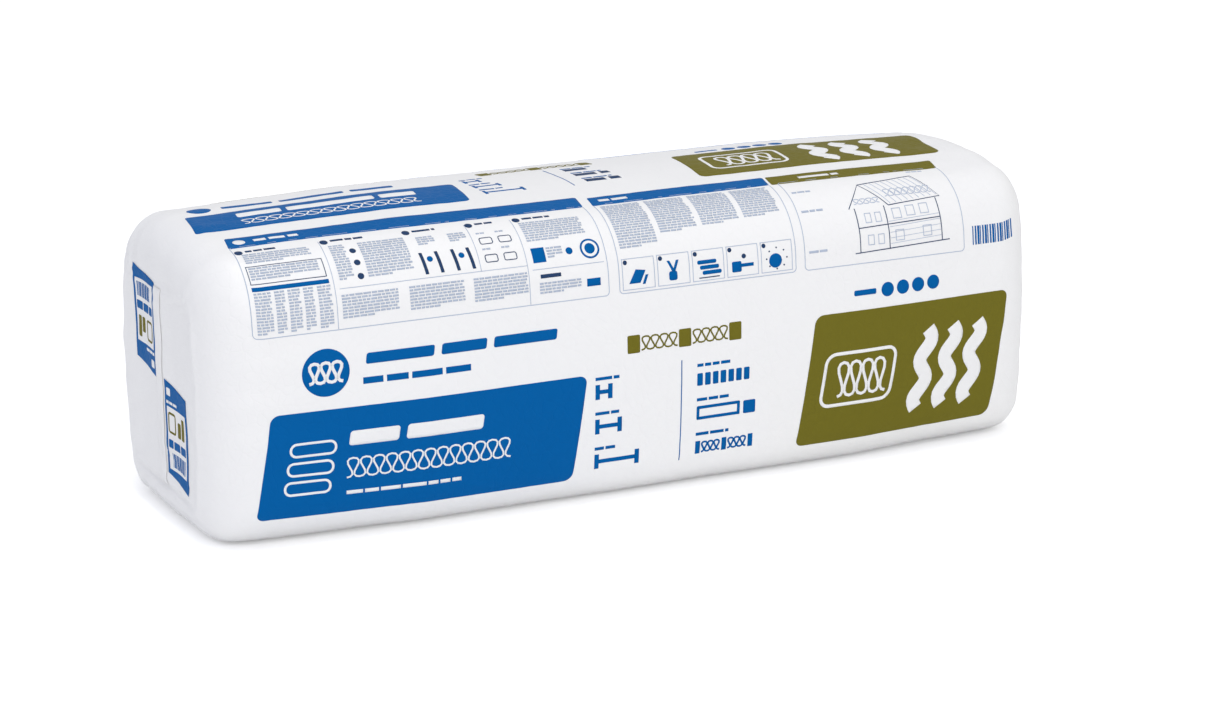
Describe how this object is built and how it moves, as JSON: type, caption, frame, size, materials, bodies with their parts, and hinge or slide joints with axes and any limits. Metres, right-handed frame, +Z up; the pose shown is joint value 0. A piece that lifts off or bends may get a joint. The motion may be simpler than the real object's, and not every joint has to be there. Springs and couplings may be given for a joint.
{
  "type": "bag of insulation batts",
  "caption": "Sealed film bag of folded glass-fibre insulation batts, pressed side by side, lying on its long side.",
  "frame": {"origin": "middle of the base, on the floor", "axes": "+X along the bag to its right end, -Y to its printed front, +Z up"},
  "size_m": [1.2024, 0.4293, 0.3942],
  "materials": {
    "printed_film": "satin white film",
    "glass_wool": "pressed glass wool with a kraft paper face"
  },
  "bodies": {
    "root": {"bag_film": "printed_film", "batt_1": "glass_wool", "batt_2": "glass_wool", "batt_3": "glass_wool", "batt_4": "glass_wool", "batt_5": "glass_wool", "batt_6": "glass_wool", "batt_7": "glass_wool"}
  },
  "joints": []
}
